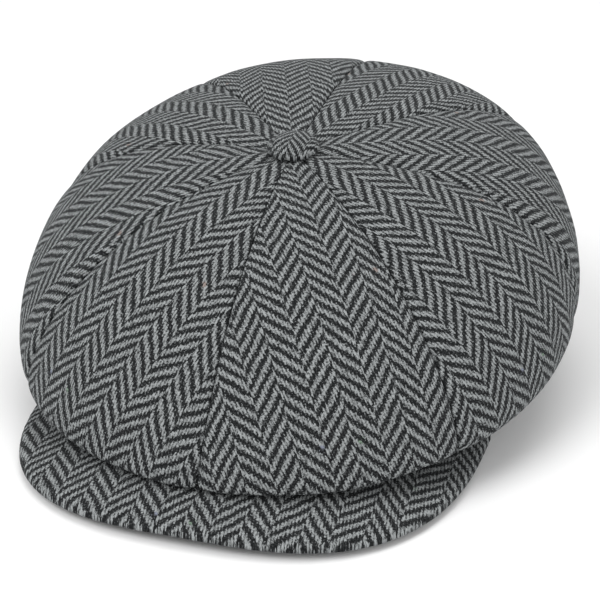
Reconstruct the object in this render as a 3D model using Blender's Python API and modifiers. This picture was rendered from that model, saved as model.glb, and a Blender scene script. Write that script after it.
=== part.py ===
"""Newsboy cap: eight crown panels on an oval headband, a stiff peak and a covered button.

Metres, +Z up. The front faces -Y and the lower edge of the headband lies on z = 0.
The crown is full and leans forward over the peak, as it does when the cap is laid down.
"""
import math

import bmesh
import bpy
from mathutils import Matrix, Vector

# Head opening and headband, an oval centred on the origin
OPENING_HALF_WIDTH = 0.083
OPENING_HALF_LENGTH = 0.101
SWEATBAND_THICK = 0.0012
SWEATBAND_HEIGHT = 0.034
STIFFENER_THICK = 0.0008
STIFFENER_HEIGHT = 0.030
CLOTH_THICK = 0.0016
LINING_THICK = 0.0005
LAYER_GAP = 0.0004
HEADBAND_HEIGHT = 0.031
RING_SEGMENTS = 48
FRONT_SEGMENTS = 20
REAR_SEGMENTS = 30
STIFFENER_LOW = 0.0005

# Crown: eight panels round a button, measured from the middle of the crown before it leans
PANELS = 8
CROWN_CENTRE = Vector((0, 0.010, 0.060))
CROWN_LEAN = math.radians(10)
CROWN_HALF_WIDTH = 0.139
CROWN_FRONT = 0.158
CROWN_BACK = 0.1557
CROWN_RISE = 0.0633
CROWN_OUTLINE_POWER = 2.04
CROWD_ENDS = 0.053
CROWD_SIDES = 0.033
WIDEST_FRONT_Z = -0.0153
WIDEST_SIDE_Z = -0.0176
WIDEST_BACK_Z = -0.0020
SHOULDER_FRONT = (2.2, 1.2)
SHOULDER_BACK = (2.5, 3.4)
TOP_SHARE = 11 / 15
TIP_TURN = math.radians(1.5)
SEAM_GAP = 0.0007
PANEL_ACROSS = 5
PANEL_ALONG = 15
LINING_INSET = 0.0034
LINING_LIFT = 1.5
LINING_SEAM_RISE = 0.0059

# Fold under the crown, front, side and back: how far it hangs below the widest line,
# how far it stands off the headband and how far it dips below the seam there
FOLD_DROP = (0.005, 0.014, 0.050)
FOLD_REACH = (0.014, 0.022, 0.034)
FOLD_DIP = (0.010, 0.010, 0.020)
CROWN_SEAM_Z = 0.0300

# Peak
PEAK_HALF_WIDTH = 0.110
PEAK_CENTRE_Y = -0.0397
PEAK_FORWARD = 0.1238
PEAK_REARWARD = 0.020
PEAK_OUTLINE_POWER = 2.78
PEAK_ROOT_TURN = math.radians(76)
PEAK_EDGE_TURN = math.radians(130)
PEAK_ROOT_Z = 0.0175
PEAK_ROOT_ARCH = 0.0109
PEAK_DROOP = 0.0090
PEAK_DROOP_POWER = 1.8
PEAK_ROOT_GAP = 0.0010
PEAK_COVER_THICK = 0.0012
PEAK_BOARD_THICK = 0.0012
PEAK_LAYER_GAP = 0.0004
PEAK_RIM_CLOSE = 0.0007
PEAK_RIM_SHARE = 0.10
PEAK_BOARD_EDGE = 0.85
PEAK_BOARD_WIDTH = 0.88
PEAK_ACROSS = 26
PEAK_DEEP = 7
PEAK_AXIS_Y = -0.028
PEAK_AXIS_Z = 0.006

# Button
BUTTON_RADIUS = 0.0125
BUTTON_HEIGHT = 0.0066
BUTTON_LIP_RADIUS = 0.0098
BUTTON_COVER_THICK = 0.0011
BUTTON_SHELL_THICK = 0.0006
BUTTON_CLEARANCE = 0.0006
BUTTON_BACK_RADIUS = 0.0090
BUTTON_BACK_THICK = 0.0008
SHANK_RADIUS = 0.0018
SHANK_LENGTH = 0.0082
SHANK_HEAD_RADIUS = 0.0034
SHANK_HEAD_THICK = 0.0008
WASHER_RADIUS = 0.0085
WASHER_THICK = 0.0007
BUTTON_STEPS = 28
DOME_STEPS = 6
COVER_EDGE_ROUND = 0.0006
MERGE_DISTANCE = 0.00001

# Blank label on the sweatband
LABEL_TURN = math.radians(9)
LABEL_LOW = 0.011
LABEL_HIGH = 0.025
LABEL_THICK = 0.0004
LABEL_SEGMENTS = 6

CLOTH_COLOUR = (0.115, 0.123, 0.126, 1)
LINING_COLOUR = (0.030, 0.031, 0.034, 1)
SWEATBAND_COLOUR = (0.022, 0.022, 0.024, 1)
CANVAS_COLOUR = (0.55, 0.52, 0.44, 1)
BOARD_COLOUR = (0.62, 0.62, 0.60, 1)
STEEL_COLOUR = (0.60, 0.60, 0.61, 1)
LABEL_COLOUR = (0.35, 0.35, 0.36, 1)


def clear_scene():
    for obj in list(bpy.data.objects):
        bpy.data.objects.remove(obj)


def make_material(name, colour, roughness, metallic=0.0):
    material = bpy.data.materials.new(name)
    material.use_nodes = True
    shader = material.node_tree.nodes["Principled BSDF"]
    shader.inputs["Base Color"].default_value = colour
    shader.inputs["Roughness"].default_value = roughness
    shader.inputs["Metallic"].default_value = metallic
    return material


def add_object(name, bm, material):
    mesh = bpy.data.meshes.new(name)
    bm.to_mesh(mesh)
    bm.free()
    mesh.materials.append(material)
    mesh.shade_smooth()
    obj = bpy.data.objects.new(name, mesh)
    cap.objects.link(obj)
    return obj


def thicken(obj, thickness, side):
    """side is 1 to grow along the faces' normals and -1 to grow against them."""
    solid = obj.modifiers.new("thickness", "SOLIDIFY")
    solid.thickness = thickness
    solid.offset = side
    solid.use_even_offset = True


def sheet(name, across, along, place, inside, material):
    """A grid of across by along faces, placed by place(s, t) with s in -1..1 and t in 0..1.

    Its faces point away from the point inside.
    """
    bm = bmesh.new()
    bmesh.ops.create_grid(bm, x_segments=across, y_segments=along, size=1)
    for vert in bm.verts:
        vert.co = place(vert.co.x, (vert.co.y + 1) / 2)
    bm.normal_update()
    middle = bm.faces[:][len(bm.faces) // 2]
    if middle.normal.dot(middle.calc_center_median() - inside) < 0:
        bmesh.ops.reverse_faces(bm, faces=bm.faces)
    return add_object(name, bm, material)


def mix_round(turn, front, side, back):
    """Front, side and back values, blended smoothly round the cap."""
    ahead = math.cos(turn)
    return side + (front - side) * max(ahead, 0) ** 2 + (back - side) * min(ahead, 0) ** 2


def band_point(turn, outward, height):
    """A point on an oval round the head opening, outward from the sweatband's inner face."""
    return Vector((
        (OPENING_HALF_WIDTH + outward) * math.sin(turn),
        -(OPENING_HALF_LENGTH + outward) * math.cos(turn),
        height,
    ))


def crown_azimuth(turn):
    """The seams crowd a little towards the ends of the oval, so that the panels stay equal."""
    return turn + CROWD_ENDS * math.sin(turn) - CROWD_SIDES * math.sin(2 * turn)


def crown_radius(azimuth, inset):
    ahead = math.cos(azimuth)
    length = (CROWN_FRONT if ahead > 0 else CROWN_BACK) - inset
    across = abs(math.sin(azimuth)) / (CROWN_HALF_WIDTH - inset)
    power = CROWN_OUTLINE_POWER
    return (across ** power + (abs(ahead) / length) ** power) ** (-1 / power)


def lean(point):
    return CROWN_CENTRE + Matrix.Rotation(CROWN_LEAN, 3, "X") @ point


def crown_top(turn, rise, inset):
    """The upper cloth: rise runs from 0 at the button to 90 degrees at the widest line."""
    azimuth = crown_azimuth(turn)
    facing = (1 + math.cos(azimuth)) / 2
    spread = SHOULDER_BACK[0] + (SHOULDER_FRONT[0] - SHOULDER_BACK[0]) * facing
    crest = SHOULDER_BACK[1] + (SHOULDER_FRONT[1] - SHOULDER_BACK[1]) * facing
    radius = crown_radius(azimuth, inset) * math.sin(rise) ** (2 / spread)
    widest = mix_round(azimuth, WIDEST_FRONT_Z, WIDEST_SIDE_Z, WIDEST_BACK_Z)
    climb = max(math.cos(rise), 0.0) ** (2 / crest)
    height = widest + (CROWN_RISE - inset - widest) * climb
    return lean(Vector((radius * math.sin(azimuth), -radius * math.cos(azimuth), height)))


def crown_fold(turn, share, inset, seam):
    """The cloth that folds back under the crown, from the widest line in to the seam point."""
    start = crown_top(turn, math.pi / 2, inset)
    outward = Vector((math.sin(turn), -math.cos(turn), 0))
    drop = mix_round(turn, *FOLD_DROP) - inset * LINING_LIFT
    reach = mix_round(turn, *FOLD_REACH)
    dip = mix_round(turn, *FOLD_DIP) - inset * LINING_LIFT
    first = start - Vector((0, 0, drop))
    second = seam + outward * reach - Vector((0, 0, dip))
    left = 1 - share
    return (left ** 3 * start + 3 * left ** 2 * share * first
            + 3 * left * share ** 2 * second + share ** 3 * seam)


def crown_point(turn, down, inset, seam):
    """down runs from 0 beside the button to 1 at the seam on the headband."""
    if down < TOP_SHARE:
        return crown_top(turn, TIP_TURN + (math.pi / 2 - TIP_TURN) * down / TOP_SHARE, inset)
    return crown_fold(turn, (down - TOP_SHARE) / (1 - TOP_SHARE), inset, seam)


def gore(name, number, inset, seam_outward, seam_height, thickness, material):
    """One of the eight panels of the crown or of its lining."""
    middle = (number + 0.5) * math.tau / PANELS
    half = math.pi / PANELS
    axis = lean(Vector((0, 0, 0)))

    def place(s, t):
        edge = band_point(middle + s * half, seam_outward, seam_height)
        point = crown_point(middle + s * half, t, inset, edge)
        girth = math.hypot(point.x - axis.x, point.y - axis.y)
        turn = middle + s * (half - SEAM_GAP / 2 / girth)
        edge = band_point(turn, seam_outward, seam_height)
        return crown_point(turn, t, inset, edge)

    panel = sheet(name, PANEL_ACROSS, PANEL_ALONG, place, axis, material)
    thicken(panel, thickness, -1)


def crown(cloth, satin):
    headband_outer = headband_inner() + CLOTH_THICK + LAYER_GAP
    for number in range(PANELS):
        gore(f"crown_panel_{number + 1}", number, 0, headband_outer, CROWN_SEAM_Z,
             CLOTH_THICK, cloth)
        gore(f"lining_panel_{number + 1}", number, LINING_INSET,
             SWEATBAND_THICK + LAYER_GAP, CROWN_SEAM_Z + LINING_SEAM_RISE,
             LINING_THICK, satin)


def headband_inner():
    return SWEATBAND_THICK + STIFFENER_THICK + 2 * LAYER_GAP


def strip(name, start, end, outward, thickness, low, high, segments, material):
    """A stretch of a band that follows the oval from one turn to another."""
    def place(s, t):
        turn = start + (end - start) * (s + 1) / 2
        return band_point(turn, outward, low + (high - low) * t)

    band = sheet(name, segments, 2, place, Vector((0, 0, high)), material)
    thicken(band, thickness, 1)


def ring(name, outward, thickness, low, high, material):
    bm = bmesh.new()
    bmesh.ops.create_circle(bm, segments=RING_SEGMENTS, radius=1)
    for vert in bm.verts:
        vert.co = band_point(math.atan2(vert.co.x, -vert.co.y), outward, low)
    raised = bmesh.ops.extrude_edge_only(bm, edges=bm.edges[:])["geom"]
    bmesh.ops.translate(bm, vec=(0, 0, high - low),
                        verts=[part for part in raised if isinstance(part, bmesh.types.BMVert)])
    bm.normal_update()
    first = bm.faces[:][0]
    if first.normal.dot(first.calc_center_median()) < 0:
        bmesh.ops.reverse_faces(bm, faces=bm.faces)
    thicken(add_object(name, bm, material), thickness, 1)


def headband(cloth, canvas, twill, ribbon):
    gap = SEAM_GAP / 2 / OPENING_HALF_WIDTH
    turn = PEAK_ROOT_TURN
    strip("headband_front", gap - turn, turn - gap, headband_inner(), CLOTH_THICK,
          0, HEADBAND_HEIGHT, FRONT_SEGMENTS, cloth)
    strip("headband_rear", turn + gap, math.tau - turn - gap, headband_inner(), CLOTH_THICK,
          0, HEADBAND_HEIGHT, REAR_SEGMENTS, cloth)
    ring("headband_stiffener", SWEATBAND_THICK + LAYER_GAP, STIFFENER_THICK,
         STIFFENER_LOW, STIFFENER_HEIGHT, canvas)
    ring("sweatband", 0, SWEATBAND_THICK, 0, SWEATBAND_HEIGHT, twill)
    strip("blank_label", math.pi - LABEL_TURN, math.pi + LABEL_TURN,
          -LABEL_THICK - LAYER_GAP, LABEL_THICK, LABEL_LOW, LABEL_HIGH, LABEL_SEGMENTS,
          ribbon)


def signed_power(value, power):
    return math.copysign(abs(value) ** power, value)


def peak_edge(turn):
    power = 2 / PEAK_OUTLINE_POWER
    reach = PEAK_FORWARD if math.cos(turn) > 0 else PEAK_REARWARD
    return Vector((
        PEAK_HALF_WIDTH * signed_power(math.sin(turn), power),
        PEAK_CENTRE_Y - reach * signed_power(math.cos(turn), power),
        0,
    ))


def peak_sheet(name, depth, side, width, deep, close, thickness, material):
    """A layer of the peak, depth below its top face, with a rim that closes by close.

    width and deep are the shares of the peak that it covers, across and from the root out.
    """
    root_outward = headband_inner() + CLOTH_THICK + PEAK_ROOT_GAP
    deepest = (peak_edge(0) - band_point(0, root_outward, 0)).length

    def place(s, t):
        share = t * deep
        root = band_point(s * width * PEAK_ROOT_TURN, root_outward, 0)
        edge = peak_edge(s * width * PEAK_EDGE_TURN)
        point = root.lerp(edge, share)
        rim = max(0, (share - 1 + PEAK_RIM_SHARE) / PEAK_RIM_SHARE)
        ridge = PEAK_ROOT_Z - PEAK_ROOT_ARCH * (s * width) ** 2
        droop = PEAK_DROOP * (edge - root).length / deepest
        point.z = ridge - droop * share ** PEAK_DROOP_POWER - depth - side * close * rim ** 2
        return point

    below = Vector((0, PEAK_CENTRE_Y, -1 if side > 0 else 1))
    layer = sheet(name, PEAK_ACROSS, PEAK_DEEP, place, below, material)
    thicken(layer, thickness, -1)
    layer.data.transform(Matrix.Translation((0, -PEAK_AXIS_Y, -PEAK_AXIS_Z)))
    layer.parent = peak_axis


def peak(cloth, board):
    board_depth = PEAK_COVER_THICK + PEAK_LAYER_GAP
    under_depth = board_depth + PEAK_BOARD_THICK + PEAK_LAYER_GAP + PEAK_COVER_THICK
    peak_sheet("peak_top_cover", 0, 1, 1, 1, PEAK_RIM_CLOSE, PEAK_COVER_THICK, cloth)
    peak_sheet("peak_board", board_depth, 1, PEAK_BOARD_WIDTH, PEAK_BOARD_EDGE, 0,
               PEAK_BOARD_THICK, board)
    peak_sheet("peak_under_cover", under_depth, -1, 1, 1, PEAK_RIM_CLOSE,
               PEAK_COVER_THICK, cloth)


def turned(name, profile, material):
    """A turned piece of the button: profile points (radius, height), down the outer side."""
    bm = bmesh.new()
    verts = [bm.verts.new((radius, 0, height)) for radius, height in profile]
    for one, two in zip(verts, verts[1:]):
        bm.edges.new((one, two))
    if profile[0][0] > 0:
        bm.edges.new((verts[-1], verts[0]))
    obj = add_object(name, bm, material)
    screw = obj.modifiers.new("turn", "SCREW")
    screw.steps = BUTTON_STEPS
    screw.render_steps = BUTTON_STEPS
    screw.use_merge_vertices = True
    screw.merge_threshold = MERGE_DISTANCE
    obj.parent = button_axis
    return obj


def dome(radius, height, base):
    """Points down a flattened dome, from its crest to its rim."""
    return [(radius * math.sin(angle), base + height * math.cos(angle))
            for angle in (math.pi / 2 * step / DOME_STEPS for step in range(DOME_STEPS + 1))]


def button(cloth, steel):
    base = BUTTON_CLEARANCE
    inner_radius = BUTTON_RADIUS - BUTTON_COVER_THICK
    inner_height = BUTTON_HEIGHT - 2 * BUTTON_COVER_THICK
    inner_base = base + BUTTON_COVER_THICK
    lip = [(BUTTON_LIP_RADIUS, base), (BUTTON_LIP_RADIUS, inner_base)]
    outside = dome(BUTTON_RADIUS, BUTTON_HEIGHT - BUTTON_COVER_THICK, inner_base)
    inside = dome(inner_radius, inner_height, inner_base)[::-1]
    turned("button_cover", outside + [(BUTTON_RADIUS - COVER_EDGE_ROUND, base)] + lip + inside, cloth)

    gap = LAYER_GAP
    shell_base = inner_base + gap
    shell_out = dome(inner_radius - gap, inner_height - 2 * gap, shell_base)
    shell_in = dome(inner_radius - gap - BUTTON_SHELL_THICK,
                    inner_height - 2 * gap - BUTTON_SHELL_THICK, shell_base)[::-1]
    turned("button_shell", shell_out + shell_in, steel)

    foot = base + BUTTON_SHELL_THICK
    top = foot + BUTTON_BACK_THICK
    head_low = top - SHANK_LENGTH
    turned("button_back", [
        (0, top), (BUTTON_BACK_RADIUS, top), (BUTTON_BACK_RADIUS, foot), (SHANK_RADIUS, foot),
        (SHANK_RADIUS, head_low + SHANK_HEAD_THICK), (SHANK_HEAD_RADIUS, head_low + SHANK_HEAD_THICK),
        (SHANK_HEAD_RADIUS, head_low), (0, head_low),
    ], steel)

    low = head_low + SHANK_HEAD_THICK + LAYER_GAP
    hole = SHANK_RADIUS + LAYER_GAP
    turned("button_washer", [
        (WASHER_RADIUS, low + WASHER_THICK), (WASHER_RADIUS, low),
        (hole, low), (hole, low + WASHER_THICK),
    ], steel)


def add_empty(name, location, turn):
    empty = bpy.data.objects.new(name, None)
    empty.location = location
    empty.rotation_euler.x = turn
    empty.empty_display_size = 0.02
    cap.objects.link(empty)
    return empty


clear_scene()
cap = bpy.data.collections.new("newsboy_cap")
bpy.context.scene.collection.children.link(cap)

peak_axis = add_empty("peak_axis", (0, PEAK_AXIS_Y, PEAK_AXIS_Z), 0)
button_axis = add_empty("button_axis", lean(Vector((0, 0, CROWN_RISE))), CROWN_LEAN)

tweed = make_material("herringbone_tweed", CLOTH_COLOUR, 0.95)
satin = make_material("lining_satin", LINING_COLOUR, 0.45)
canvas = make_material("band_canvas", CANVAS_COLOUR, 0.9)
twill = make_material("sweatband_twill", SWEATBAND_COLOUR, 0.8)
ribbon = make_material("label_ribbon", LABEL_COLOUR, 0.6)
board = make_material("peak_board", BOARD_COLOUR, 0.5)
steel = make_material("button_steel", STEEL_COLOUR, 0.35, 1.0)

crown(tweed, satin)
headband(tweed, canvas, twill, ribbon)
peak(tweed, board)
button(tweed, steel)
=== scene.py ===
import math

import bmesh
import bpy
from mathutils import Matrix, Vector, noise


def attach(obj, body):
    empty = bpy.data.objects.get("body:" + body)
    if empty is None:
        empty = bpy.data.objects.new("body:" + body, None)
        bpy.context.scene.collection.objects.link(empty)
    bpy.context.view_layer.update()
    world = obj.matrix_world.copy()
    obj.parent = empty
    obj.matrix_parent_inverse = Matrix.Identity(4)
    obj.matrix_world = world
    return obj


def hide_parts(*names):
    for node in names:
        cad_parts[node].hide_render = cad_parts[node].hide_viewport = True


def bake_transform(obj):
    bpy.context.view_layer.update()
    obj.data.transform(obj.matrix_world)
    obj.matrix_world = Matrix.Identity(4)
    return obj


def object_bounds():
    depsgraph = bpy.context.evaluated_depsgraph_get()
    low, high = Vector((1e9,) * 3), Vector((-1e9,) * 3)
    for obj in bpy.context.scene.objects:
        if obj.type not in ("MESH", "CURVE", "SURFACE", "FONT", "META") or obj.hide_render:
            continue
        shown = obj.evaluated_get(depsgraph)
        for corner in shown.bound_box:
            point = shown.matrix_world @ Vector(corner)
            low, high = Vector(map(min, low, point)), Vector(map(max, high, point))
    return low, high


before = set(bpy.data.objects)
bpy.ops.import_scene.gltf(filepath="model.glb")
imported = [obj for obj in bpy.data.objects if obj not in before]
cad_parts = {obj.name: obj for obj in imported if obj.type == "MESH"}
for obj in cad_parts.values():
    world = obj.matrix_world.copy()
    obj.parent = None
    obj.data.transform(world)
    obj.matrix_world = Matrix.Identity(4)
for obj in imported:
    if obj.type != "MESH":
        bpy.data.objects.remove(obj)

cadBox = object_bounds()

# Newsboy cap in grey herringbone tweed: eight crown panels, headband, peak and covered button.
# The front faces -Y, and the shapes below follow the same curves as the frame's solids.
head = dict(halfWidth=0.083, halfLength=0.101, height=0.031)
layer = dict(cloth=0.0016, lining=0.0005, sweatband=0.0012, stiffener=0.0008, peakCover=0.0012,
             board=0.0012, gap=0.0004)


class Signal:  # a node's output, so that sums in a material read as sums
    def __init__(self, finish, socket):
        self.finish = finish
        self.socket = socket

    def math(self, operation, *others):
        inputs = dict(enumerate((self,) + others))
        return self.finish.node("ShaderNodeMath", {"operation": operation}, inputs)

    def __add__(self, other):
        return self.math("ADD", other)

    def __radd__(self, other):
        return self.math("ADD", other)

    def __sub__(self, other):
        return self.math("SUBTRACT", other)

    def __rsub__(self, other):
        return self.finish.node("ShaderNodeMath", {"operation": "SUBTRACT"}, {0: other, 1: self})

    def __mul__(self, other):
        return self.math("MULTIPLY", other)

    def __rmul__(self, other):
        return self.math("MULTIPLY", other)

    def __truediv__(self, other):
        return self.math("DIVIDE", other)

    def floor(self):
        return self.math("FLOOR")

    def ridges(self):  # 0 at whole numbers and 1 halfway between them
        return self.math("PINGPONG", 0.5) * 2

    def step(self, low, high):  # 0 below low, 1 above high, smooth between
        return self.finish.node("ShaderNodeMapRange", {"interpolation_type": "SMOOTHSTEP"},
                                {"Value": self, "From Min": low, "From Max": high})


class Finish:  # one material, and the nodes that feed its surface
    def __init__(self, name, **settings):
        self.material = bpy.data.materials.new(name)
        self.material.use_nodes = True
        self.tree = self.material.node_tree
        self.surface = self.tree.nodes["Principled BSDF"]
        for key, value in settings.items():
            self.surface.inputs[key.replace("_", " ")].default_value = value

    def node(self, kind, settings, inputs, output=0):
        made = self.tree.nodes.new(kind)
        for key, value in settings.items():
            setattr(made, key, value)
        for key, value in inputs.items():
            self.feed(made.inputs[key], value)
        return Signal(self, made.outputs[output])

    def feed(self, socket, value):
        if isinstance(value, Signal):
            self.tree.links.new(value.socket, socket)
        else:
            socket.default_value = value

    def mix(self, factor, first, second):
        return self.node("ShaderNodeMix", {"data_type": "RGBA"}, {0: factor, 6: first, 7: second}, 2)
    def split(self, vector):
        return [self.node("ShaderNodeSeparateXYZ", {}, {0: vector}, number) for number in range(3)]

    def join(self, x, y, z=0.0):
        return self.node("ShaderNodeCombineXYZ", {}, {0: x, 1: y, 2: z})

    def clothPlace(self):  # metres across and along the cloth
        return self.node("ShaderNodeUVMap", {"uv_map": "cloth"}, {})

    def objectPlace(self):
        return self.node("ShaderNodeTexCoord", {}, {}, 3)

    def grain(self, vector, scale, detail=2.0, roughness=0.5):
        return self.node("ShaderNodeTexNoise", {}, {"Vector": vector, "Scale": scale,
                                                    "Detail": detail, "Roughness": roughness})

    def threads(self, u, v, fineness, detail=2.0, roughness=0.5):  # grain drawn out along one way
        across, along = fineness
        return self.grain(self.join(u * across, v * along), 1.0, detail, roughness)

    def colour(self, signal):
        self.feed(self.surface.inputs["Base Color"], signal)

    def shade(self, share, look):  # from the dark colour of a look to its light one
        self.colour(self.mix(share, look["dark"], look["light"]))

    def roughness(self, signal):
        self.feed(self.surface.inputs["Roughness"], signal)

    def relief(self, height, distance, strength=0.8):
        bump = self.node("ShaderNodeBump", {}, {"Height": height, "Distance": distance,
                                                "Strength": strength})
        self.feed(self.surface.inputs["Normal"], bump)


weave = dict(
    end=0.00156,          # from one light yarn to the next
    ends=8,               # light yarns in one column of the herringbone
    stripe=0.0068,        # from one stripe to the next, along the column
    climb=1 / 4,          # of a stripe, from one yarn to the next
    stepped=0.45,         # how far the stripes go up in steps, and not in a straight line
    lean=0.18,            # slope of the yarns, from their twist
    weft=0.0016,          # from one cross thread to the next
    columnDrift=(140, 0.0012),    # unevenness of the columns: how fine, and how wide
    stripeDrift=(100, 0.0028),
    driftSeed=7.0,
    fibre=(1800, 850),    # how fine the fibres are, across and along
    tone=(380, 230),
    nap=1150,
    fray=(0.40, 4.2, 4.4),        # how far yarns, fibres and nap break up the stripes
    level=0.30,
    softness=0.75,        # of a stripe's edge
    shades=(0.66, 0.15, 1.1, 1.8, 1.2),   # a stripe's own, then what yarns, tone, fibres and nap add; the yarns' share is a painted highlight on each yarn's crest and painted shade between the yarns
    fuzz=(0.40, 0.75, 0.10),      # pale nap over the dark: from, to, and how strong
    light=(0.345, 0.363, 0.366, 1),
    dark=(0.0062, 0.0069, 0.0075, 1),
    flecks=95.0,
    fleckSize=(0.10, 0.20),
    fleckChance=(0.86, 0.88),
    fleckDye=(0.45, 0.30),
    fleckShare=0.6,
    yarnRise=(0.16, 0.14),        # everywhere, and along a stripe
    raised=(0.7, 0.15, 0.9, 0.6),     # stripes, wefts, fibres and nap
    relief=0.00050,
    buttonSize=0.72,      # the button's pattern, against the crown's
)


def tweed(name, size=1.0):  # size scales the pattern on a piece
    cloth = Finish(name, Roughness=0.92, Sheen_Weight=0.05, Sheen_Roughness=0.5,
                   Sheen_Tint=(0.80, 0.83, 0.86, 1), Specular_IOR_Level=0.12)
    flat = cloth.clothPlace()
    u, v, unused = cloth.split(flat)
    fine, wide = weave["columnDrift"]
    u = u / size + (cloth.grain(flat, fine, 1.0) - 0.5) * wide
    fine, wide = weave["stripeDrift"]
    v = v / size + (cloth.grain(cloth.join(u, v, weave["driftSeed"]), fine, 1.0) - 0.5) * wide
    columnWidth = weave["end"] * weave["ends"]
    column = (u / columnWidth).floor()
    odd = column.math("FLOORED_MODULO", 2)
    place = (u / columnWidth - column - 0.5) * weave["ends"]
    whole = (place + weave["ends"] / 2).floor() - (weave["ends"] - 1) / 2
    place = place * (1 - weave["stepped"]) + whole * weave["stepped"]
    lift = v / weave["stripe"] - place * (1 - 2 * odd) * weave["climb"] + odd * 0.5
    stripes = (lift * math.tau).math("COSINE")
    twist = u - v * weave["lean"]
    yarns = (twist * (math.tau / weave["end"])).math("COSINE")
    fibres = cloth.threads(twist, v, weave["fibre"], 3.0, 0.65) - 0.5
    tone = cloth.threads(u, v, weave["tone"]) - 0.5
    nap = cloth.grain(flat, weave["nap"], 3.0, 0.7) - 0.5
    yarnPart, fibrePart, napPart = weave["fray"]
    floats = stripes + yarns * yarnPart + fibres * fibrePart + nap * napPart
    light = (floats - weave["level"]).step(-weave["softness"], weave["softness"])
    ownPart, yarnPart, tonePart, fibrePart, napPart = weave["shades"]
    # yarns * yarnPart paints light into the light stripes: a painted highlight on each yarn's crest and
    # painted shade between the yarns
    shade = light * (ownPart + yarns * yarnPart + tone * tonePart + fibres * fibrePart + nap * napPart)
    fuzzFrom, fuzzTo, fuzzPart = weave["fuzz"]
    shade += (nap + 0.5).step(fuzzFrom, fuzzTo) * fuzzPart
    body = cloth.mix(shade, weave["dark"], weave["light"])
    fleck = cloth.node("ShaderNodeTexVoronoi", {}, {"Vector": flat, "Scale": weave["flecks"]})
    fleckHue = cloth.node("ShaderNodeTexVoronoi", {}, {"Vector": flat, "Scale": weave["flecks"]}, 1)
    hue, chance, rest = cloth.split(fleckHue)
    strength, bright = weave["fleckDye"]
    dye = cloth.node("ShaderNodeCombineColor", {"mode": "HSV"}, {0: hue, 1: strength, 2: bright})
    fleckHere = (1 - fleck.step(*weave["fleckSize"])) * chance.step(*weave["fleckChance"]) * light
    cloth.colour(cloth.mix(fleckHere * weave["fleckShare"], body, dye))
    wefts = (v / weave["weft"]).ridges()
    everywhere, onStripe = weave["yarnRise"]
    raised = stripes.step(-1.0, 0.9) + yarns * (everywhere + onStripe * stripes)
    stripePart, weftPart, fibrePart, napPart = weave["raised"]
    cloth.relief(raised * stripePart + wefts * weftPart + fibres * fibrePart + nap * napPart,
                 weave["relief"])
    return cloth.material


satinWeave = dict(thread=(900, 6000), bars=2600, barDrift=0.6, cloud=45, relief=0.00012,
                  dark=(0.016, 0.017, 0.020, 1), light=(0.052, 0.054, 0.060, 1))


def satin():
    lining = Finish("lining_satin_weave", Sheen_Weight=0.05, Specular_IOR_Level=0.5)
    flat = lining.clothPlace()
    u, v, unused = lining.split(flat)
    threads = lining.threads(u, v, satinWeave["thread"])
    bars = (v * satinWeave["bars"] + threads * satinWeave["barDrift"]).ridges()
    cloud = lining.grain(flat, satinWeave["cloud"], 3.0)
    lining.shade(threads * 0.6 + cloud * 0.4, satinWeave)
    lining.roughness(0.34 + threads * 0.16)
    lining.relief(threads * 0.6 + bars * 0.25, satinWeave["relief"])
    return lining.material


# In both looks, dark to light spans painted shade in the grooves between the twill's ribs and picks, and
# random wear
bandWeave = dict(rib=0.00085, dark=(0.010, 0.010, 0.011, 1), light=(0.042, 0.042, 0.046, 1))
stitchThread = dict(rib=0.0005, dark=(0.05, 0.05, 0.052, 1), light=(0.13, 0.13, 0.135, 1))
twillWeave = dict(pick=0.6, worn=60, relief=0.00018)      # pick is a share of a rib


def twill(name, look):
    band = Finish(name, Sheen_Weight=0.12, Sheen_Roughness=0.5, Specular_IOR_Level=0.3)
    flat = band.clothPlace()
    u, v, unused = band.split(flat)
    ribs = ((u + v) / look["rib"]).ridges()
    picks = (v / (look["rib"] * twillWeave["pick"])).ridges()
    worn = band.grain(flat, twillWeave["worn"], 4.0)
    # ribs and picks paint shade: lighter on the raised ribs and picks, darker in the grooves between them,
    # following the relief below; worn is random wear
    band.shade(ribs * 0.55 + picks * 0.15 + worn * 0.3, look)
    band.roughness(0.95 - ribs * 0.15)
    band.relief(ribs + picks * 0.35 + worn * 0.3, twillWeave["relief"], 0.9)
    return band.material


canvasWeave = dict(warps=190, weft=0.0011, slub=220, relief=0.00015,     # warps in a radian round the head
                   dark=(0.36, 0.33, 0.26, 1), light=(0.66, 0.62, 0.53, 1))


def canvas():
    stiff = Finish("band_canvas_weave", Specular_IOR_Level=0.25)
    x, y, z = stiff.split(stiff.objectPlace())
    warp = (y.math("ARCTAN2", x) * canvasWeave["warps"]).ridges()
    weft = (z / canvasWeave["weft"]).ridges()
    slub = stiff.grain(stiff.objectPlace(), canvasWeave["slub"], 3.0)
    # warp * weft paints shade: lighter where raised warp and weft cross, darker between the threads,
    # following the relief below; slub is random tone
    stiff.shade(warp * weft * 0.5 + slub * 0.5, canvasWeave)
    stiff.roughness(0.86 + slub * 0.10)
    stiff.relief(warp + weft + slub, canvasWeave["relief"])
    return stiff.material


boardLook = dict(milk=35, pebble=1400, relief=0.00006,
                 dark=(0.55, 0.55, 0.53, 1), light=(0.72, 0.72, 0.70, 1))


def boardPlastic():
    sheet = Finish("peak_board_plastic", Specular_IOR_Level=0.5)
    milk = sheet.grain(sheet.objectPlace(), boardLook["milk"], 4.0)
    pebble = sheet.grain(sheet.objectPlace(), boardLook["pebble"], 2.0)
    sheet.shade(milk, boardLook)
    sheet.roughness(0.42 + pebble * 0.22)
    sheet.relief(pebble, boardLook["relief"], 0.6)
    return sheet.material


steelLook = dict(drawn=900, stain=160, relief=0.00002,
                 dark=(0.48, 0.48, 0.49, 1), light=(0.68, 0.68, 0.69, 1))


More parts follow.
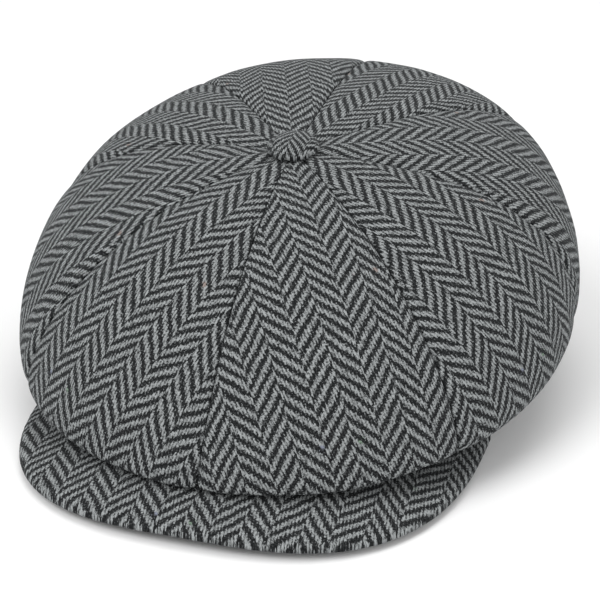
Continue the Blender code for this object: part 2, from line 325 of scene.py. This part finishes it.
def pressedSteel():
    steel = Finish("button_pressed_steel", Metallic=1.0)
    drawn = steel.grain(steel.objectPlace(), steelLook["drawn"], 3.0)
    stain = steel.grain(steel.objectPlace(), steelLook["stain"], 4.0)
    steel.shade(stain, steelLook)
    steel.roughness(0.26 + drawn * 0.22 + stain * 0.10)
    steel.relief(drawn, steelLook["relief"], 0.6)
    return steel.material


tapeWeave = dict(row=0.00045, thread=(2400, 9000), relief=0.00010,
                 dark=(0.24, 0.24, 0.25, 1), light=(0.46, 0.46, 0.47, 1))


def ribbon():
    tape = Finish("label_ribbon_weave", Sheen_Weight=0.08, Specular_IOR_Level=0.45)
    u, v, unused = tape.split(tape.clothPlace())
    rows = (v / tapeWeave["row"]).ridges()
    threads = tape.threads(u, v, tapeWeave["thread"])
    # rows paints shade: lighter on each raised row, darker in the grooves between rows, following the
    # relief below; threads is random tone
    tape.shade(rows * 0.35 + threads * 0.65, tapeWeave)
    tape.roughness(0.42 + threads * 0.25)
    tape.relief(rows + threads * 0.5, tapeWeave["relief"], 0.7)
    return tape.material


print("materials")
crownTweed = tweed("crown_tweed")
buttonTweed = tweed("button_tweed", weave["buttonSize"])
liningSatin = satin()
bandTwill = twill("sweatband_twill_weave", bandWeave)
stitchCotton = twill("stitch_cotton", stitchThread)
labelTape = ribbon()


# the crown's surface, as turn round the cap and way down from the button
crown = dict(
    panels=8, centre=Vector((0, 0.010, 0.060)), lean=math.radians(10), halfWidth=0.139,
    front=0.158, back=0.1557, rise=0.0633, outline=2.04, widest=(-0.0153, -0.0176, -0.0020),
    shoulderFront=(2.2, 1.2), shoulderBack=(2.5, 3.4), topShare=11 / 15, tip=math.radians(1.5),
    crowdEnds=0.053, crowdSides=0.033, drop=(0.005, 0.014, 0.050), reach=(0.014, 0.022, 0.034),
    dip=(0.010, 0.010, 0.020), seamHeight=0.0300, liningInset=0.0034, liningLift=1.5,
)


def mixRound(turn, front, side, back):  # front, side and back values, blended round the cap
    ahead = math.cos(turn)
    return side + (front - side) * max(ahead, 0) ** 2 + (back - side) * min(ahead, 0) ** 2


def bandPoint(turn, outward, height):  # on an oval round the head opening
    return Vector(((head["halfWidth"] + outward) * math.sin(turn),
                   -(head["halfLength"] + outward) * math.cos(turn), height))


def crownRadius(azimuth, inset):
    ahead = math.cos(azimuth)
    length = (crown["front"] if ahead > 0 else crown["back"]) - inset
    across = abs(math.sin(azimuth)) / (crown["halfWidth"] - inset)
    power = crown["outline"]
    return (across ** power + (abs(ahead) / length) ** power) ** (-1 / power)


crownTilt = Matrix.Rotation(crown["lean"], 3, "X")


def crownTop(turn, rise, inset):  # from the button at rise 0 to the widest line at 90 degrees
    azimuth = turn + crown["crowdEnds"] * math.sin(turn) - crown["crowdSides"] * math.sin(2 * turn)
    facing = (1 + math.cos(azimuth)) / 2
    spread, crest = (back + (front - back) * facing
                     for front, back in zip(crown["shoulderFront"], crown["shoulderBack"]))
    radius = crownRadius(azimuth, inset) * math.sin(rise) ** (2 / spread)
    widest = mixRound(azimuth, *crown["widest"])
    height = widest + (crown["rise"] - inset - widest) * max(math.cos(rise), 0) ** (2 / crest)
    return crown["centre"] + crownTilt @ Vector((radius * math.sin(azimuth),
                                                 -radius * math.cos(azimuth), height))


def crownFold(turn, share, inset, seam):  # the cloth that turns back under to the headband
    start = crownTop(turn, math.pi / 2, inset)
    outward = Vector((math.sin(turn), -math.cos(turn), 0))
    lift = inset * crown["liningLift"]
    first = start - Vector((0, 0, mixRound(turn, *crown["drop"]) - lift))
    second = seam + outward * mixRound(turn, *crown["reach"])
    second.z -= mixRound(turn, *crown["dip"]) - lift
    left = 1 - share
    return (left ** 3 * start + 3 * left ** 2 * share * first
            + 3 * left * share ** 2 * second + share ** 3 * seam)


def crownPoint(turn, down, inset, seam):
    if down < crown["topShare"]:
        rise = crown["tip"] + (math.pi / 2 - crown["tip"]) * down / crown["topShare"]
        return crownTop(turn, rise, inset)
    return crownFold(turn, (down - crown["topShare"]) / (1 - crown["topShare"]), inset, seam)


def makePiece(name, bm, material, body, slot, *nodes):
    mesh = bpy.data.meshes.new(name)
    bm.to_mesh(mesh)
    bm.free()
    mesh.materials.append(material)
    mesh.shade_smooth()
    piece = bpy.data.objects.new(name, mesh)
    bpy.context.scene.collection.objects.link(piece)
    if body:
        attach(piece, body)
    if nodes:
        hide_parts(*nodes)
    return piece


def thicken(piece, thickness, side):  # side 1 grows along the normals, -1 against them
    solid = piece.modifiers.new("thickness", "SOLIDIFY")
    solid.thickness = thickness
    solid.offset = side


def smooth(value, low, high):
    share = min(1, max(0, (value - low) / (high - low)))
    return share * share * (3 - 2 * share)


class Sheet:  # a grid of cloth, which knows where each of its points lies on the flat cloth
    def __init__(self, across, along, place, inside, spreadAcross=None):
        self.bm = bmesh.new()
        bmesh.ops.create_grid(self.bm, x_segments=across, y_segments=along, size=1)
        self.spot = {vert: (round((vert.co.x + 1) / 2 * across), round((vert.co.y + 1) / 2 * along))
                     for vert in self.bm.verts}
        self.at = {spot: vert for vert, spot in self.spot.items()}
        for vert in self.bm.verts:
            s = spreadAcross(vert.co.x) if spreadAcross else vert.co.x
            vert.co = place(s, (vert.co.y + 1) / 2)
        self.across = across
        self.along = along
        self.bm.normal_update()
        self.measure()
        face = self.at[across // 2, along // 2].link_faces[0]
        if face.normal.dot(face.calc_center_median() - inside) < 0:
            bmesh.ops.reverse_faces(self.bm, faces=self.bm.faces)
            self.bm.normal_update()

    def measure(self):  # metres across from the middle line, and down the straight grain
        middle = self.across // 2
        self.u = {}
        self.v = {}
        self.run = [0]
        self.cut = {}
        for row in range(self.along + 1):
            self.u[middle, row] = 0
            for step, last in ((-1, 0), (1, self.across)):
                for column in range(middle, last, step):
                    part = (self.at[column + step, row].co - self.at[column, row].co).length
                    self.u[column + step, row] = self.u[column, row] + step * part
            for column in range(self.across + 1):
                self.v[column, row] = 0
                if row:
                    down = (self.at[column, row].co - self.at[column, row - 1].co).length_squared
                    aside = self.u[column, row] - self.u[column, row - 1]
                    self.v[column, row] = self.v[column, row - 1] + math.sqrt(max(0, down - aside * aside))
            if row:
                self.run.append(self.v[middle, row])

    def turnGrain(self, turn, shift):  # for a piece cut a little off the straight grain
        for spot, u in self.u.items():
            v = self.v[spot]
            self.cut[spot] = (u * math.cos(turn) - v * math.sin(turn) + shift,
                              u * math.sin(turn) + v * math.cos(turn))

    def mapCloth(self, flatten=None):  # writes each point's flat place, or flatten(co) where given
        places = {vert: flatten(vert.co) if flatten else self.cut.get(spot, (self.u[spot], self.v[spot]))
                  for vert, spot in self.spot.items()}
        width, length = (max(values) - min(values) for values in zip(*places.values()))
        self.flat = (width, length, sum(face.calc_area() for face in self.bm.faces))
        layerUv = self.bm.loops.layers.uv.new("cloth")
        for face in self.bm.faces:
            for loop in face.loops:
                loop[layerUv].uv = places[loop.vert]

    def push(self, amount):  # moves every point along its normal by amount(vert, u, v)
        shifts = {vert: vert.normal * amount(vert, self.u[spot], self.v[spot])
                  for vert, spot in self.spot.items()}
        for vert, shift in shifts.items():
            vert.co += shift
        self.bm.normal_update()


def declareCloth(piece, flat):  # prints the width and length of the flat cloth that the piece was cut from
    width, length, area = flat
    min(area, width * length)
    print(f"{piece.name}: cut from {width * 1000:.0f} x {length * 1000:.0f} mm")


panelCut = dict(
    across=56, along=128, crowd=0.20, gap=0.00016, leastGirth=0.004,
    puff=0.0011, puffReach=0.014, puffStarts=(0.02, 0.22), puffEnds=(0.82, 1.0), settle=0.0006,
    seamDip=0.0006, seamWide=0.0026,
    roll=((1, 0.0009), (2, 0.00028), (3, 0.00006)),   # columns in from the edge, and their drop
    pucker=0.00088, puckerReach=0.016, puckerLength=0.0085, puckerWide=0.03, puckerStart=0.0035,
    puckerSeed=7.3, slack=((0.0011, 0.050, 3.1), (0.000385, 0.050 / 2.6, 8.4)),   # height, size and seed
    fixedEnd=0.06, buttonRise=0.0008, buttonReach=0.024, seamPull=0.0005, seamPullWide=0.004,
    offGrain={0: (math.radians(9), 0.0155), 7: (math.radians(-8), 0)},   # turn, and shift across
)


def towardEdges(s):  # crowds the grid's columns towards the seams
    return s + panelCut["crowd"] * math.sin(math.pi * s)


def slackness(point):  # broad soft undulation, the same on both sides of a seam
    return sum(height * noise.noise(point / size + Vector((seed, 0, 0)))
               for height, size, seed in panelCut["slack"])


def panel(number):
    middle = (number + 0.5) * math.tau / crown["panels"]
    half = math.pi / crown["panels"]
    outward = layer["sweatband"] + layer["stiffener"] + 2 * layer["gap"] + layer["cloth"] + layer["gap"]
    axis = crown["centre"]

    def place(s, t):
        turn = middle + s * half
        point = crownPoint(turn, t, 0, bandPoint(turn, outward, crown["seamHeight"]))
        girth = max(panelCut["leastGirth"], math.hypot(point.x - axis.x, point.y - axis.y))
        turn = middle + s * (half - panelCut["gap"] / 2 / girth)
        return crownPoint(turn, t, 0, bandPoint(turn, outward, crown["seamHeight"]))

    sheet = Sheet(panelCut["across"], panelCut["along"], place, axis, towardEdges)
    if number in panelCut["offGrain"]:
        sheet.turnGrain(*panelCut["offGrain"][number])
    sheet.mapCloth()
    across = panelCut["across"]
    drops = {}
    for columnsIn, drop in panelCut["roll"]:
        drops[columnsIn - 1] = drop
        drops[across + 1 - columnsIn] = drop

    def amount(vert, u, v):
        column, row = sheet.spot[vert]
        edge = abs(sheet.u[across if u > 0 else 0, row])
        toSeam = max(0, edge - abs(u))
        seam = (number + (1 if u > 0 else 0)) % crown["panels"]
        down = sheet.run[row]
        share = down / sheet.run[-1]
        full = smooth(share, *panelCut["puffStarts"]) * (1 - smooth(share, *panelCut["puffEnds"]))
        bulge = panelCut["puff"] * (1 - math.exp(-toSeam / panelCut["puffReach"])) * full
        groove = -panelCut["seamDip"] * math.exp(-(toSeam / panelCut["seamWide"]) ** 2)
        wave = noise.noise(Vector((down / panelCut["puckerLength"], seam * panelCut["puckerSeed"],
                                   toSeam / panelCut["puckerWide"])))
        pucker = panelCut["pucker"] * wave * math.exp(-toSeam / panelCut["puckerReach"])
        pucker *= smooth(toSeam, 0, panelCut["puckerStart"])
        near = math.exp(-(down / panelCut["buttonReach"]) ** 2)
        pull = panelCut["buttonRise"] * near
        pull -= panelCut["seamPull"] * near * math.exp(-(toSeam / panelCut["seamPullWide"]) ** 2)
        lift = bulge - panelCut["settle"] + groove + pucker - drops.get(column, 0)
        lift += slackness(vert.co) * (1 - near)
        return lift * smooth(1 - share, 0, panelCut["fixedEnd"]) + pull

    sheet.push(amount)
    piece = makePiece(f"crown_cloth_{number + 1}", sheet.bm, crownTweed, "crown",
                      "herringbone_tweed", f"crown_panel_{number + 1}")
    thicken(piece, layer["cloth"], -1)
    declareCloth(piece, sheet.flat)


liningCut = dict(
    across=30, along=60, sewn=0.99995,        # edge to edge, a hair short of touching
    above=0.0025, inset=0.0008, fixedEnd=0.06, hang=0.0011, hangReach=0.012,
    gather=0.0007, gatherLength=0.014, gatherWide=0.05, gatherSeed=5.1,
)


def liningPanel(number):
    middle = (number + 0.5) * math.tau / crown["panels"]
    half = math.pi / crown["panels"] * liningCut["sewn"]
    outward = layer["sweatband"] + layer["gap"]
    height = crown["seamHeight"] + crown["liningInset"] + liningCut["above"]
    inset = crown["liningInset"] + liningCut["inset"]

    def place(s, t):
        turn = middle + s * half
        return crownPoint(turn, t, inset, bandPoint(turn, outward, height))

    sheet = Sheet(liningCut["across"], liningCut["along"], place, crown["centre"], towardEdges)
    sheet.mapCloth()

    def amount(vert, u, v):
        row = sheet.spot[vert][1]
        toSeam = max(0, abs(sheet.u[sheet.across if u > 0 else 0, row]) - abs(u))
        share = sheet.run[row] / sheet.run[-1]
        ends = smooth(share, 0, liningCut["fixedEnd"]) * smooth(1 - share, 0, liningCut["fixedEnd"])
        hang = liningCut["hang"] * (1 - math.exp(-toSeam / liningCut["hangReach"]))
        gather = liningCut["gather"] * noise.noise(Vector((
            sheet.run[row] / liningCut["gatherLength"], number * liningCut["gatherSeed"],
            u / liningCut["gatherWide"])))
        return -ends * (hang + abs(gather))

    sheet.push(amount)
    piece = makePiece(f"lining_cloth_{number + 1}", sheet.bm, liningSatin, "crown",
                      "lining_satin", f"lining_panel_{number + 1}")
    thicken(piece, layer["lining"], -1)
    declareCloth(piece, sheet.flat)


band = dict(
    peakTurn=math.radians(76), rows=18, frontColumns=120, rearColumns=180, seamGap=0.0001,
    puff=0.00035, settle=0.0003, hem=0.0030, bendFrom=0.030, bendTo=0.012,
)
bandInner = layer["sweatband"] + layer["stiffener"] + 2 * layer["gap"]


def bandSheet(start, end, outward, low, high, segments, rows):
    def place(s, t):
        return bandPoint(start + (end - start) * (s + 1) / 2, outward, low + (high - low) * t)

    sheet = Sheet(segments, rows, place, Vector((0, 0, (low + high) / 2)))
    sheet.mapCloth()
    return sheet


def headband():
    gap = band["seamGap"] / head["halfWidth"]
    turn = band["peakTurn"]
    stretches = (("front", gap - turn, turn - gap, band["frontColumns"]),
                 ("rear", turn + gap, math.tau - turn - gap, band["rearColumns"]))
    for side, start, end, segments in stretches:
        sheet = bandSheet(start, end, bandInner, 0, head["height"], segments, band["rows"])

        def amount(vert, u, v):
            row = sheet.spot[vert][1]
            toEnd = abs(sheet.u[0, row]) - abs(u)
            hem = smooth(v, 0, band["hem"]) * smooth(head["height"] - v, 0, band["hem"])
            return band["puff"] * hem * smooth(toEnd, 0, band["hem"]) - band["settle"]

        sheet.push(amount)
        piece = makePiece(f"headband_cloth_{side}", sheet.bm, crownTweed, None,
                          "herringbone_tweed", f"headband_{side}")
        thicken(piece, layer["cloth"], 1)
        declareCloth(piece, sheet.flat)
        if side == "front":
            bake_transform(piece)
        else:
            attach(piece, "crown")


sweat = dict(inner=0.0003, low=0.0004, high=0.034, around=220, rows=16, hollow=0.0004,
             slack=0.0004, slackRound=6, slackUp=2)


def sweatTurn(co):
    return math.atan2(co.x, -co.y)


def sweatband():
    low = sweat["low"]
    tall = sweat["high"] - low
    step = tall / sweat["rows"]
    bm = bmesh.new()
    edge = bmesh.ops.create_circle(bm, segments=sweat["around"], radius=1)["verts"]
    turns = {vert: sweatTurn(vert.co) for vert in edge}
    for vert, turn in turns.items():
        vert.co = bandPoint(turn, sweat["inner"], low)
    edges = bm.edges[:]
    for row in range(sweat["rows"]):
        raised = bmesh.ops.extrude_edge_only(bm, edges=edges)["geom"]
        verts = [part for part in raised if isinstance(part, bmesh.types.BMVert)]
        bmesh.ops.translate(bm, vec=(0, 0, step), verts=verts)
        top = low + (row + 0.5) * step
        edges = [part for part in raised if isinstance(part, bmesh.types.BMEdge)
                 and all(vert.co.z > top for vert in part.verts)]
    bmesh.ops.recalc_face_normals(bm, faces=bm.faces)
    first = bm.faces[:][0]
    if first.normal.dot(first.calc_center_median()) < 0:
        bmesh.ops.reverse_faces(bm, faces=bm.faces)
    bm.normal_update()
    girth = math.pi * (head["halfWidth"] + head["halfLength"])
    flat = bm.loops.layers.uv.new("cloth")
    for face in bm.faces:
        facing = sweatTurn(face.calc_center_median())
        for loop in face.loops:
            turn = sweatTurn(loop.vert.co)
            turn += math.tau * round((facing - turn) / math.tau)
            loop[flat].uv = (turn / math.tau * girth, loop.vert.co.z)
    for vert in bm.verts:
        rise = (vert.co.z - low) / tall
        turn = sweatTurn(vert.co)
        soft = sweat["slack"] * noise.noise(Vector((
            math.sin(turn) * sweat["slackRound"], math.cos(turn) * sweat["slackRound"],
            rise * sweat["slackUp"])))
        soft *= smooth(rise, 0.1, 0.5) * smooth(1 - rise, 0, 0.3)
        vert.co -= vert.normal * (sweat["hollow"] * math.sin(math.pi * rise) + soft)
    piece = makePiece("sweatband_cloth", bm, bandTwill, "crown", "sweatband_twill", "sweatband")
    thicken(piece, layer["sweatband"] - sweat["inner"], 1)


stitch = dict(length=0.0026, pitch=0.0036, radius=0.00026, sides=6, rows=(0.0030, 0.0312),
              capInset=0.4, capDepth=0.6, inward=-0.00022, hump=0.00018, aim=0.01)


def stitches():  # two rows of machine stitches round the sweatband
    bm = bmesh.new()
    girth = math.pi * (head["halfWidth"] + head["halfLength"])
    count = round(girth / stitch["pitch"])
    radius = stitch["radius"]
    for height in stitch["rows"]:
        for number in range(count):
            turn = math.tau * number / count
            before = set(bm.verts)
            bmesh.ops.create_cone(bm, cap_ends=True, segments=stitch["sides"], radius1=radius,
                                  radius2=radius, depth=stitch["length"])
            made = [vert for vert in bm.verts if vert not in before]
            caps = [face for face in bm.faces
                    if len(face.verts) == stitch["sides"] and face.verts[0] in made]
            bmesh.ops.inset_individual(bm, faces=caps, thickness=radius * stitch["capInset"],
                                       depth=radius * stitch["capDepth"])
            made = [vert for vert in bm.verts if vert not in before]
            along = bandPoint(turn + stitch["aim"], 0, height) - bandPoint(turn - stitch["aim"], 0, height)
            facing = along.to_track_quat("Z", "Y").to_matrix()
            spot = bandPoint(turn, stitch["inward"], height)
            for vert in made:
                end = abs(vert.co.z) / (stitch["length"] / 2)
                vert.co = spot + facing @ vert.co - spot.normalized() * (stitch["hump"] * (1 - end ** 2))
    flat = bm.loops.layers.uv.new("cloth")
    for face in bm.faces:
        for loop in face.loops:
            loop[flat].uv = (loop.vert.co.x, loop.vert.co.z)
    makePiece("sweatband_stitches", bm, stitchCotton, "crown", "sweatband_twill")


label = dict(halfTurn=math.radians(9), inward=-0.00085, low=0.011, high=0.025, columns=40, rows=20,
             hem=0.0012, hemDrop=0.00025, thick=0.0004)


def blankLabel():
    sheet = bandSheet(math.pi - label["halfTurn"], math.pi + label["halfTurn"], label["inward"],
                      label["low"], label["high"], label["columns"], label["rows"])

    def amount(vert, u, v):
        row = sheet.spot[vert][1]
        toEdge = min(abs(sheet.u[0, row]) - abs(u), v, label["high"] - label["low"] - v)
        return -label["hemDrop"] * smooth(toEdge, 0, label["hem"])

    sheet.push(amount)
    piece = makePiece("label_cloth", sheet.bm, labelTape, "crown", "label_ribbon", "blank_label")
    thicken(piece, label["thick"], 1)
    declareCloth(piece, sheet.flat)


peak = dict(
    halfWidth=0.110, centre=-0.0397, forward=0.1238, rearward=0.020, outline=2.78,
    rootTurn=math.radians(76), edgeTurn=math.radians(130), rootHeight=0.0175, rootArch=0.0109,
    droop=0.0090, droopPower=1.8, rootGap=0.0010, across=150, deep=52, crowd=1.5,
    rim=0.0042, rimPower=2.6, rimSeam=0.35,       # the seam lies this far below the rim's middle
    slack=0.00045, slackSize=0.035, slackFade=8, pucker=0.00028, puckerLength=0.006,
    puckerRow=3, puckerRows=4,
)


def signedPower(value, power):
    return math.copysign(abs(value) ** power, value)


def peakEdge(turn):
    power = 2 / peak["outline"]
    reach = peak["forward"] if math.cos(turn) > 0 else peak["rearward"]
    return Vector((peak["halfWidth"] * signedPower(math.sin(turn), power),
                   peak["centre"] - reach * signedPower(math.cos(turn), power), 0))


peakThick = 2 * layer["peakCover"] + layer["board"] + 2 * layer["gap"]


def peakRoot(s):
    return bandPoint(s * peak["rootTurn"], bandInner + layer["cloth"] + peak["rootGap"], 0)


def peakPoint(s, share, depth):
    deepest = (peakEdge(0) - peakRoot(0)).length
    root = peakRoot(s)
    edge = peakEdge(s * peak["edgeTurn"])
    point = root.lerp(edge, share)
    droop = peak["droop"] * (edge - root).length / deepest
    point.z = (peak["rootHeight"] - peak["rootArch"] * s ** 2
               - droop * share ** peak["droopPower"] - depth)
    return point


def peakCover(side):  # side 1 is the top cover and -1 the under cover; they meet along the rim
    half = peakThick / 2 * (1 + side * peak["rimSeam"])
    rimPower = peak["rimPower"]

    def place(s, t):
        share = 1 - (1 - t) ** peak["crowd"]
        width = (peakEdge(s * peak["edgeTurn"]) - peakRoot(s)).length
        turnIn = max(0, 1 - width * (1 - share) / peak["rim"])
        drop = half * (1 - math.sqrt(max(0, 1 - turnIn ** rimPower))) * side
        depth = 0 if side > 0 else peakThick
        return peakPoint(s, share, depth + drop)

    below = Vector((0, peak["centre"], -side))
    sheet = Sheet(peak["across"], peak["deep"], place, below)
    sheet.mapCloth(lambda co: (co.x, -co.y))

    def amount(vert, u, v):
        toRim = sheet.along - sheet.spot[vert][1]
        soft = noise.noise(vert.co / peak["slackSize"] + Vector((2.0 * side, 0, 5.0)))
        wave = noise.noise(Vector((u / peak["puckerLength"], 3.0 * side, 0)))
        atSeam = math.exp(-((toRim - peak["puckerRow"]) / peak["puckerRows"]) ** 2)
        return (peak["slack"] * soft * min(1, toRim / peak["slackFade"])
                + peak["pucker"] * wave * atSeam)

    sheet.push(amount)
    name = "top" if side > 0 else "under"
    piece = makePiece(f"peak_cloth_{name}", sheet.bm, crownTweed, "peak", "herringbone_tweed",
                      f"peak_{name}_cover")
    thicken(piece, layer["peakCover"], -1)
    declareCloth(piece, sheet.flat)


button = dict(
    radius=0.0125, height=0.0066, thick=0.0011, clearance=0.0006, lip=0.0098, rows=15, steps=84,
    turnUnder=((0.00015, 0.0006), (0.0006, 0.00015), (0.0012, 0)),   # in from the rim, up from the base
    tucks=14, tuckDepth=0.00030, tuckFrom=0.72, tuckWander=(1.3, 3), slack=0.00022, slackSize=0.007,
    stretch=1.12,         # of the cloth, in a flat view from above
)


def buttonCover():
    bm = bmesh.new()
    radius = button["radius"]
    base = button["clearance"]
    crest = button["height"] - button["thick"]
    rises = [math.pi / 2 * row / button["rows"] for row in range(button["rows"] + 1)]
    profile = [(radius * math.sin(rise), base + button["thick"] + crest * math.cos(rise)) for rise in rises]
    profile += [(radius - inward, base + up) for inward, up in button["turnUnder"]]
    profile += [(button["lip"], base)]
    verts = [bm.verts.new((outward, 0, height)) for outward, height in profile]
    edges = [bm.edges.new(pair) for pair in zip(verts, verts[1:])]
    bmesh.ops.spin(bm, geom=verts + edges, cent=(0, 0, 0), axis=(0, 0, 1), angle=math.tau,
                   steps=button["steps"], use_merge=True)
    bmesh.ops.remove_doubles(bm, verts=bm.verts, dist=0.00001)
    bmesh.ops.recalc_face_normals(bm, faces=bm.faces)
    if max(bm.faces, key=lambda face: face.calc_center_median().z).normal.z < 0:
        bmesh.ops.reverse_faces(bm, faces=bm.faces)
    bm.normal_update()
    flat = bm.loops.layers.uv.new("cloth")
    column = weave["end"] * weave["ends"] * weave["buttonSize"]
    for face in bm.faces:
        for loop in face.loops:
            co = loop.vert.co
            loop[flat].uv = (co.x * button["stretch"] + column, co.y * button["stretch"])
    wander, waves = button["tuckWander"]
    for vert in bm.verts:
        out = Vector((vert.co.x, vert.co.y)).length / radius
        turn = math.atan2(vert.co.y, vert.co.x)
        fold = math.sin(turn * button["tucks"] + wander * math.sin(turn * waves))
        fold *= button["tuckDepth"] * smooth(out, button["tuckFrom"], 1.0)
        vert.co += vert.normal * (fold + button["slack"] * noise.noise(vert.co / button["slackSize"]))
    place = Matrix.Translation(crown["centre"] + crownTilt @ Vector((0, 0, crown["rise"])))
    bm.transform(place @ crownTilt.to_4x4())
    bm.normal_update()
    piece = makePiece("button_cloth", bm, buttonTweed, "crown", "herringbone_tweed", "button_cover")
    thicken(piece, button["thick"], -1)


print("crown")
for number in range(crown["panels"]):
    panel(number)
print("lining")
for number in range(crown["panels"]):
    liningPanel(number)
print("headband")
headband()
sweatband()
stitches()
blankLabel()
print("peak")
peakCover(1)
peakCover(-1)
print("button")
buttonCover()

print("hidden parts")
hiddenFinish = {"headband_stiffener": canvas(), "peak_board": boardPlastic()}
steel = pressedSteel()
for name in ("button_shell", "button_back", "button_washer"):
    hiddenFinish[name] = steel
for name, material in hiddenFinish.items():
    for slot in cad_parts[name].material_slots:
        slot.material = material


studio = dict(
    azimuth=17.1, elevation=24.4, distance=0.781, lens=92.7, sensor=36, farthest=50, lower=1.53,
    sky=(1.0, 1.0, 1.0, 1), skyStrength=0.62,
    lamps=(("key", (-0.9, -1.3, 1.9), 1.6, 26), ("fill", (1.5, -1.0, 1.1), 1.4, 9),
           ("top", (0.1, 0.5, 2.2), 1.8, 16)),        # place, size and power
)


def camera():
    data = bpy.data.cameras.new("camera")
    data.lens = studio["lens"]
    data.sensor_width = studio["sensor"]
    data.clip_end = studio["farthest"]
    eye = bpy.data.objects.new("camera", data)
    bpy.context.scene.collection.objects.link(eye)
    turn, rise = (math.radians(studio[key]) for key in ("azimuth", "elevation"))
    away = Vector((math.sin(turn) * math.cos(rise), -math.cos(turn) * math.cos(rise), math.sin(rise)))
    eye.location = crown["centre"] + away * studio["distance"]
    facing = (-away).to_track_quat("-Z", "Y").to_matrix()
    facing = facing @ Matrix.Rotation(-math.radians(studio["lower"]), 3, "X")
    eye.rotation_euler = facing.to_euler()
    bpy.context.scene.camera = eye


def lights():
    world = bpy.data.worlds.new("studio")
    world.use_nodes = True
    background = world.node_tree.nodes["Background"]
    background.inputs["Color"].default_value = studio["sky"]
    background.inputs["Strength"].default_value = studio["skyStrength"]
    bpy.context.scene.world = world
    bpy.context.scene.view_settings.view_transform = "Standard"
    for name, place, size, power in studio["lamps"]:
        data = bpy.data.lights.new(name, "AREA")
        data.shape = "DISK"
        data.size = size
        data.energy = power
        lamp = bpy.data.objects.new(name, data)
        lamp.location = place
        lamp.rotation_euler = (crown["centre"] - Vector(place)).to_track_quat("-Z", "Y").to_euler()
        bpy.context.scene.collection.objects.link(lamp)


paperFloor = dict(size=4.0, squares=8, below=0.0002, cloud=3, dark=(0.90, 0.90, 0.90, 1),
                  light=(0.93, 0.93, 0.93, 1))


def floor():
    paper = Finish("floor_paper", Roughness=0.9, Specular_IOR_Level=0.1)
    paper.shade(paper.grain(paper.objectPlace(), paperFloor["cloud"], 2.0), paperFloor)
    bm = bmesh.new()
    bmesh.ops.create_grid(bm, x_segments=paperFloor["squares"], y_segments=paperFloor["squares"],
                          size=paperFloor["size"])
    bmesh.ops.translate(bm, verts=bm.verts, vec=(0, 0, cadBox[0].z - paperFloor["below"]))
    mesh = bpy.data.meshes.new("floor")
    bm.to_mesh(mesh)
    bm.free()
    mesh.materials.append(paper.material)
    ground = bpy.data.objects.new("floor", mesh)
    bpy.context.scene.collection.objects.link(ground)


print("studio")
camera()
lights()
floor()
